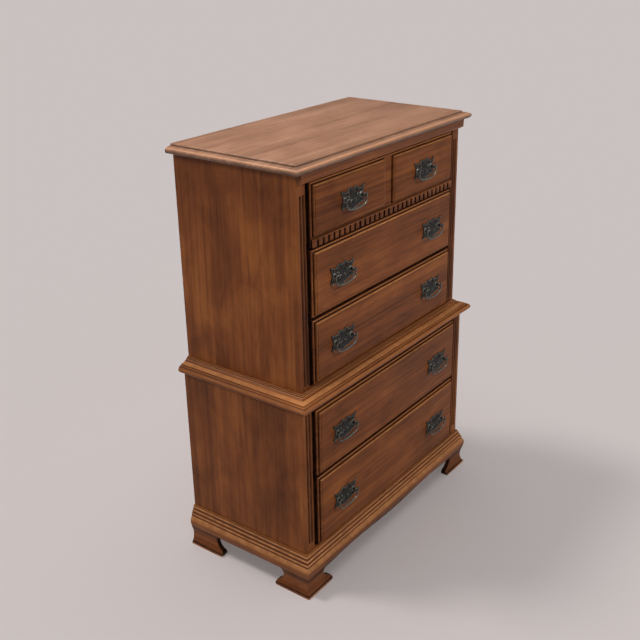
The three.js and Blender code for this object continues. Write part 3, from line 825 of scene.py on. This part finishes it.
def base_board(name, node, ends, feet, toe, neck, apron, place, grain):
    """A base board with its moulded face, cut to the outline of its feet and eased along the cut. ends are
    where the board ends and feet where its feet do; place makes a point of a place along the board, a
    distance outside the lower case and a height."""
    inset = 0.9
    (start, end), section = ends, base_section()
    under = foot_outline(*feet, toe, neck, apron, inset)
    flat = bmesh.new()
    corners = [(end, 0), *under, (start, 0), (start, BASE_TOP), (end, BASE_TOP)]
    flat.faces.new([flat.verts.new((s, 0, z)) for s, z in corners])
    slice_mesh(flat, 2, [z for _, z, _ in section[1:-1]])
    flat.verts.index_update()
    away = [Vector((0, 0)) for _ in flat.verts]
    borders = []
    for edge in flat.edges:
        if len(edge.link_faces) > 1:
            continue
        a, b = edge.verts
        borders.append((a.index, b.index))
        if a.co.z == b.co.z in (0, BASE_TOP) or a.co.x == b.co.x in (start, end):
            continue
        outside = Vector((b.co.z - a.co.z, a.co.x - b.co.x)).normalized()
        middle = (a.co + b.co) / 2 - edge.link_faces[0].calc_center_median()
        if outside.dot(Vector((middle.x, middle.z))) < 0:
            outside.negate()
        away[a.index] += outside
        away[b.index] += outside
    spots = [(v.co.x, v.co.z) for v in flat.verts]
    faces = [[v.index for v in face.verts] for face in flat.faces]
    flat.free()

    bm = bmesh.new()
    wear_and_highlight = bm.verts.layers.float.new("wear_and_highlight")

    def row(out, depth, value=None):
        """A copy of every place, moved out past the cut and behind the face, or put on the board's back."""
        made = []
        for (s, z), off in zip(spots, away):
            cut = off.length > 0.1
            move = off.normalized() * out if cut else Vector((0, 0))
            p, own = proud(section, z)
            p = 0 if depth is None else p - depth * cut
            vertex = bm.verts.new(place(s + move.x, p, max(0, z + move.y)))
            vertex[wear_and_highlight] = value if cut and value is not None else own
            made.append(vertex)
        return made

    front, back = row(0, 0), row(inset, None, -0.9)
    rings = [front, row(0.65 * inset, 0.3 * inset, 0.5), row(inset, inset, 0.1),
             row(inset, 2 * inset, -0.9), back]
    for face in faces:
        bm.faces.new([front[i] for i in face])
        bm.faces.new([back[i] for i in reversed(face)])
    for a, b in borders:
        for one, two in zip(rings, rings[1:]):
            bm.faces.new((one[a], one[b], two[b], two[a]))
    bmesh.ops.delete(bm, geom=[v for v in bm.verts if not v.link_faces], context="VERTS")
    bmesh.ops.remove_doubles(bm, verts=bm.verts, dist=0.001)
    edges = [vertex[wear_and_highlight] for vertex in bm.verts]
    bm.verts.layers.float.remove(wear_and_highlight)
    finish_piece(name, bm, MOULDING_WOOD, "case", [node], grain, smooth=40, edges=edges)


FRONT_TOE, FRONT_NECK = 121, 87  # the front board's feet, wide at the toe and at the neck
SIDE_TOE, SIDE_NECK = 131, 104
APRON_HIGH, APRON_SWING, APRON_WAVE = 63, 6, 450  # the front apron's underside
SIDE_APRON_HIGH = 67


def base():
    """The waved front board and the two straight side boards, mitred at the front corners."""
    outer = LOWER_HALF + BASE_PROUD
    reach = LOWER_HALF - MITRE_GAP

    def front(s, p, z):
        x = s if abs(s) < LOWER_HALF - 0.01 else math.copysign(reach + p, s)
        return (x, LOWER_FRONT - p, z)

    def waved(x):
        return APRON_HIGH - APRON_SWING * math.cos(2 * math.pi * x / APRON_WAVE)

    base_board("base_front_board", "base_front", (-LOWER_HALF, LOWER_HALF), (-outer, outer),
               FRONT_TOE, FRONT_NECK, waved, front, "X")
    for hand, side in zip(HANDS, (-1, 1)):
        def flank(s, p, z, side=side):
            y = s if s > LOWER_FRONT + 0.01 else LOWER_FRONT - p
            return (side * (LOWER_HALF + p), y, z)

        feet = (LOWER_FRONT - BASE_PROUD, BACK)
        base_board(f"base_{hand}_board", f"base_{hand}", (LOWER_FRONT, BACK), feet,
                   SIDE_TOE, SIDE_NECK, lambda y: SIDE_APRON_HIGH, flank, "Y")


# ---------------------------------------------------------------- drawers

SKIRT = 4.6  # width of the moulded edge outside a drawer front's flat parts
# The last two steps, the front's end faces, take -1 and are near-black all over.
OUTER_EDGE = [(0.6, 0.05, 0.5), (1.5, 0.35, 0.6), (2.7, 1.2, 0.5), (3.7, 2.4, 0.1), (4.3, 3.7, -0.4),
              (SKIRT, 5, -1), (SKIRT, 7, -1)]
PANEL_EDGE = run([(0.6, -1.2), (1.5, -2.0), (2.4, -1.4)], -1)
PANEL_EDGE += run([(2.7, 0.2), (2.9, 1.4)], -0.9, -0.3)
PANEL_EDGE += run(curve((2.9, 1.4), (3.6, 5.6), (7.0, 7.0), steps=7), 0.3, 1.0)
PANEL_EDGE += [(7.5, 6.8, -0.7), (8.0, 6.9, -0.7), (8.4, 7.6, 0.4), (9.1, 8.0, 0.2), (11, 8.0, 0.0)]


def raised_panel(bm, corners, front, edges):
    """A raised panel with a groove and a rounded edge, on a cell of a drawer front's grid."""
    centre = sum((v.co for v in corners), Vector()) / 4
    rows = [corners]
    for inset, height, value in PANEL_EDGE:
        edges.extend([value] * 4)
        row = []
        for corner in corners:
            x = corner.co.x + math.copysign(inset, centre.x - corner.co.x)
            z = corner.co.z + math.copysign(inset, centre.z - corner.co.z)
            row.append(bm.verts.new((x, front - RIM_PROUD - height, z)))
        rows.append(row)
    skin(bm, rows)
    bm.faces.new(rows[-1])


def drawer_front(number):
    node = f"drawer_{number}_front"
    lo, hi = low(node), high(node)
    front = UPPER_FRONT if number <= 3 else LOWER_FRONT
    rim = 5
    half = hi.x
    xs = [-half + SKIRT, -half + rim, half - rim, half - SKIRT]
    zs = [lo.z + SKIRT, lo.z + rim, hi.z - rim, hi.z - SKIRT]
    cells = [(1, 1)]
    if number == 1:
        strip = 19
        xs[2:2] = [-strip, strip]
        zs[1] = low("dentil_strip").z + 28
        cells = [(1, 1), (3, 1)]
    bm = bmesh.new()
    rows = [[(x, front - RIM_PROUD, z) for x in xs] for z in zs]
    grid, edges = skirted_grid(bm, rows, hi.y, OUTER_EDGE, cells)
    for i, j in cells:
        corners = [grid[j][i], grid[j][i + 1], grid[j + 1][i + 1], grid[j + 1][i]]
        raised_panel(bm, corners, front, edges)
    # The top drawer takes the darker copy of the stain, as painted shade.
    look = TOP_DRAWER_SHADED_WOOD if number == 1 else DRAWER_WOOD
    finish_piece(f"drawer_{number}_front_board", bm, look, f"drawer_{number}", [node],
                 smooth=30, edges=edges)


def dentil_strip():
    """Square teeth with round-headed slots between them, cut in a strip with a thin backing."""
    lo, hi = low("dentil_strip"), high("dentil_strip")
    teeth, r, head, deep, ease = 30, 4.5, 20, 4.2, 0.6
    pitch = (hi.x - lo.x) / teeth
    outline = [(lo.x, lo.z)]
    for i in range(1, teeth):
        x = lo.x + i * pitch
        outline += [(x - r, lo.z)] + arc((x, lo.z + head - r), r, 180, 0, 8) + [(x + r, lo.z)]
    outline += [(hi.x, lo.z), (hi.x, hi.z), (lo.x, hi.z)]
    # The slot sides and the backing behind the teeth take -1 and go near-black: glazing and painted shade
    # in the slots.
    rings = ((ease, 0, 0.0), (0.3 * ease, 0.3 * ease, 0.8), (0, ease, 0.3), (0, 2 * ease, -1.0),
             (0, deep, -1.0))
    bm = bmesh.new()
    loft(bm, [[(x, lo.y + depth, z) for x, z in inset_loop(outline, inset)]
              for inset, depth, _ in rings])
    comb = (bm, [value for _, _, value in rings for _ in outline])
    backing = board((lo.x, lo.y + deep - 0.05, lo.z), (hi.x, hi.y, hi.z), ease=0.1, margin=2)
    bm, edges = joined(comb, (backing, [-1.0] * len(backing.verts)))
    finish_piece("dentil_strip_teeth", bm, TOP_DRAWER_SHADED_WOOD, "drawer_1", ["dentil_strip"],
                 smooth=30, edges=edges)


# ---------------------------------------------------------------- pulls

def plate_outline():
    """Batwing outline with a notched top, a pointed wing at each side and a drop at the bottom."""
    corners = [((6, 26), (9, 30)), ((15, 31.5), (22, 27)), ((27, 21), (34, 21)), ((45, 22), (55, 28)),
               ((57, 20), (51, 13)), ((46, 5), (49, -5)), ((52, -15), (57, -23)), ((51, -27), (45, -23)),
               ((38, -21.5), (31, -26)), ((20, -29.5), (10, -31)), ((5, -34.5), (0, -35))]
    half = [(0, 25)]
    for through, to in corners:
        half += curve(half[-1], through, to, steps=4)
    return half + [(-x, z) for x, z in reversed(half[1:-1])]


def cast_plate():
    """Pierced plate with a raised rim, four scrolls and two turned posts, drawn round the bail's axis."""
    thick, rim_radius = 2.2, 0.95
    outline = plate_outline()
    holes = []
    for side in (-1, 1):
        for x, z, across, tall in ((31, 12, 3.2, 4), (13.5, 16, 3.4, 4.4), (33, -13.5, 3, 2.6)):
            holes.append([(side * x + across * math.cos(a), z + tall * math.sin(a))
                          for a in (2 * math.pi * k / 14 for k in range(14))])
    plate = filled(outline, holes, thick, 0.5)
    bmesh.ops.translate(plate, vec=(0, PIVOT, 0), verts=plate.verts)
    face = PIVOT - thick
    parts = [(plate, [0.8 if face + 0.05 < v.co.y < face + 0.4 else -0.3 for v in plate.verts])]

    def relief(points, radii, closed=False):
        bm = swept(points, radii, 8, closed)
        bmesh.ops.translate(bm, vec=(0, face + 0.1, 0), verts=bm.verts)
        parts.append((bm, [0.75 if v.co.y < face - 0.5 else -0.4 for v in bm.verts]))

    rim = inset_loop(outline, 1.9)
    relief(rim, [rim_radius] * len(rim), closed=True)
    for side in (-1, 1):
        for x, z, size, start, sweep in ((23, 3, 5.6, 250, -300), (8, -12, 7, 120, -230)):
            scroll, radii = [], []
            for k in range(17):
                t = k / 16
                a = math.radians(start + sweep * t)
                reach = size * (1 - 0.5 * t)
                scroll.append((side * (x + reach * math.cos(a)), z + reach * math.sin(a)))
                radii.append(0.8 + 1.3 * math.sin(math.pi * min(1, t + 0.18)))
            relief(scroll, radii)
        post = [(9.4, 13.2), (9.4, 12.4), (8.4, 11.6), (7.2, 11.5), (6.6, 10.4), (4.4, 9.4), (3.6, 7.6),
                (3.7, 5), (4.9, 3.2), (5.4, 0.6), (5.1, -1.8), (3.6, -3.6), (1.6, -4.4)]
        bm = turned(post, side * BORE, 0)
        wide = [math.hypot(v.co.x - side * BORE, v.co.z) > 4.7 for v in bm.verts]
        parts.append((bm, [0.7 if outside else -0.1 for outside in wide]))
    return joined(*parts)


def cast_bail():
    """A bail that swells along its bar, with a curl over each pin."""
    route = [(47.6, 5), (47.9, 0), (47.8, -6), (46.4, -15.5), (42.6, -21.8), (37.6, -25.4),
             (31, -27.2), (24, -28.4), (14, -29.3), (5, -29.6)]
    radii = [1.7, 2.6, 2.3, 2.4, 2.7, 2.6, 2.3, 2.7, 3.0, 3.2]
    knots = [Vector((-x, z)) for x, z in route] + [Vector((x, z)) for x, z in reversed(route)]
    radii = radii + radii[::-1]
    points, sizes = [], []
    for i in range(len(knots) - 1):
        a, b = knots[max(0, i - 1)], knots[i]
        c, d = knots[i + 1], knots[min(len(knots) - 1, i + 2)]
        for k in range(3):
            t = k / 3
            point = 0.5 * (2 * b + (c - a) * t + (2 * a - 5 * b + 4 * c - d) * t * t
                           + (3 * b - a - 3 * c + d) * t ** 3)
            points.append(tuple(point))
            sizes.append(radii[i] + (radii[i + 1] - radii[i]) * t)
    points.append(tuple(knots[-1]))
    sizes.append(radii[-1])
    rod = swept(points, sizes, 12)
    parts = [(rod, [0.7] * len(rod.verts))]
    for side in (-1, 1):
        pin = swept([(side * 48, 0), (side * 34, 0)], [2, 2], 10)
        parts.append((pin, [0.0] * len(pin.verts)))
    return joined(*parts)


def pulls():
    for number in DRAWERS:
        for hand in HANDS:
            node = f"pull_{number}_{hand}"
            plate, bail = f"{node}_plate", f"{node}_bail"
            middle = (low(bail) + high(bail)) / 2
            pivot = (middle.x, low(plate).y + POST_PROUD, high(plate).z - PLATE_RISE)
            for part, cast, body in (("plate", cast_plate, f"drawer_{number}"),
                                     ("bail", cast_bail, f"bail_{number}_{hand}")):
                bm, edges = cast()
                finish_piece(f"{node}_{part}_cast", bm, METAL, body, [f"{node}_{part}"],
                             place=pivot, edges=edges)


# ---------------------------------------------------------------- the CAD nodes that stay

def keep_nodes():
    """Materials for the plain inner boards, which keep their CAD shape."""
    looks = [(INSIDE_Z, ["upper_back", "lower_back"]),
             (INSIDE_X, ["base_rear"] + [f"drawer_{number}_bottom" for number in DRAWERS]),
             (INSIDE_BOX, [f"drawer_{number}_box" for number in DRAWERS]),
             (SHELF_WOOD, ["upper_divider_1", "upper_divider_2", "lower_divider"]),
             (CASE_X, ["upper_top_rail", "upper_bottom", "lower_top", "lower_bottom"])]
    for look, nodes in looks:
        for node in nodes:
            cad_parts[node].data.materials[0] = look


# ---------------------------------------------------------------- camera, floor and light

def camera():
    yaw, pitch, roll = 0.9462, 0.3792, -0.0086
    place = (-2.2405, -1.6627, 1.9029)
    away = Vector((math.sin(yaw) * math.cos(pitch), math.cos(yaw) * math.cos(pitch), -math.sin(pitch)))
    right = Vector((math.cos(yaw), -math.sin(yaw), 0))
    up = right.cross(away)
    turned_right = right * math.cos(roll) + up * math.sin(roll)
    turned_up = up * math.cos(roll) - right * math.sin(roll)
    data = bpy.data.cameras.new("camera")
    data.sensor_width = 36
    data.lens = 53
    data.shift_x, data.shift_y = -0.0423, -0.0476
    data.clip_end = 400
    eye = bpy.data.objects.new("camera", data)
    turn = Matrix((turned_right, turned_up, -away)).transposed().to_4x4()
    eye.matrix_world = Matrix.Translation(place) @ turn
    bpy.context.scene.collection.objects.link(eye)
    bpy.context.scene.camera = eye


def lamp(name, kind, energy, towards):
    """A light that shines from a direction."""
    data = bpy.data.lights.new(name, kind)
    data.energy = energy
    light = bpy.data.objects.new(name, data)
    light.rotation_euler = Vector(towards).to_track_quat("Z", "Y").to_euler()
    bpy.context.scene.collection.objects.link(light)
    return light


def area_light(name, place, target, size, power):
    light = lamp(name, "AREA", power, Vector(place) - Vector(target))
    light.location = place
    light.data.shape = "DISK"
    light.data.size = size
    return light


def sun_light(name, towards, width, strength, tone):
    light = lamp(name, "SUN", strength, towards)
    light.data.angle = math.radians(width)
    light.data.color = tone
    return light


def linked(name, thing, state):
    """A collection that makes a light reach one thing only, or everything except it."""
    made = bpy.data.collections.new(name)
    made.objects.link(thing)
    made.collection_objects[0].light_linking.link_state = state
    return made


def backdrop():
    """A far wall in the floor's own lit colour, past the floor's end. It sends no light to the object."""
    bm = bmesh.new()
    bmesh.ops.create_uvsphere(bm, u_segments=48, v_segments=24, radius=BACKDROP_RADIUS)
    bmesh.ops.delete(bm, geom=[v for v in bm.verts if v.co.z < -BACKDROP_RADIUS / 2], context="VERTS")
    tree = Tree("backdrop_paint")
    tree.look({"Base Color": (0, 0, 0, 1), "Specular IOR Level": 0.0,
               "Emission Color": (*BACKDROP_TONE, 1), "Emission Strength": 1.0})
    wall = placed("backdrop", bm, tree.material)
    wall.visible_diffuse = wall.visible_glossy = wall.visible_transmission = wall.visible_shadow = False


def studio():
    """A pale floor that fills the view, its backdrop, a soft sky, two suns and three broad lights."""
    bm = bmesh.new()
    bmesh.ops.create_grid(bm, x_segments=1, y_segments=1, size=120)
    tree = Tree("floor_paint")
    tree.look({"Base Color": (*FLOOR_TONE, 1), "Roughness": 0.9, "Specular IOR Level": 0.0})
    floor = placed("floor", bm, tree.material)

    backdrop()
    world = bpy.data.worlds.new("world")
    world.use_nodes = True
    sky = world.node_tree.nodes["Background"].inputs
    sky["Color"].default_value = (*SKY_TONE, 1)
    sky["Strength"].default_value = SKY_STRENGTH
    bpy.context.scene.world = world

    sun_light("sun", (-0.235, 0.441, 0.866), 13, SUN_STRENGTH, SUN_TONE)
    fill = sun_light("floor_fill", (0, 0, 1), 60, FILL_STRENGTH, (1, 1, 1))
    fill.data.use_shadow = False
    fill.light_linking.receiver_collection = linked("floor_only", floor, "INCLUDE")
    apart = linked("floor_apart", floor, "EXCLUDE")
    for light in (area_light("front_soft", (0.9, -4.0, 3.6), (0, -0.1, 0.6), 1.4, FRONT_POWER),
                  area_light("overhead_soft", (-0.3, -0.1, 3.4), (-0.1, 0, 1.0), 1.6, OVERHEAD_POWER),
                  area_light("left_soft", (-3.6, 0.6, 3.8), (0, 0, 0.6), 1.2, LEFT_POWER)):
        light.light_linking.receiver_collection = apart
    bpy.context.scene.view_settings.view_transform = "Standard"


FLOOR_TONE = (0.715, 0.66, 0.652)
BACKDROP_TONE = (0.587, 0.535, 0.524)
BACKDROP_RADIUS = 60
SKY_TONE = (0.98, 0.985, 1.0)
SUN_TONE = (1.0, 0.94, 0.91)
SKY_STRENGTH = 0.13
SUN_STRENGTH = 0.80
FILL_STRENGTH = 1.5
FRONT_POWER = 108
OVERHEAD_POWER = 54
LEFT_POWER = 60

camera()
studio()
top_board()
bed_moulding()
waist_moulding()
sides()
stiles()
base()
for drawer in DRAWERS:
    drawer_front(drawer)
dentil_strip()
pulls()
keep_nodes()
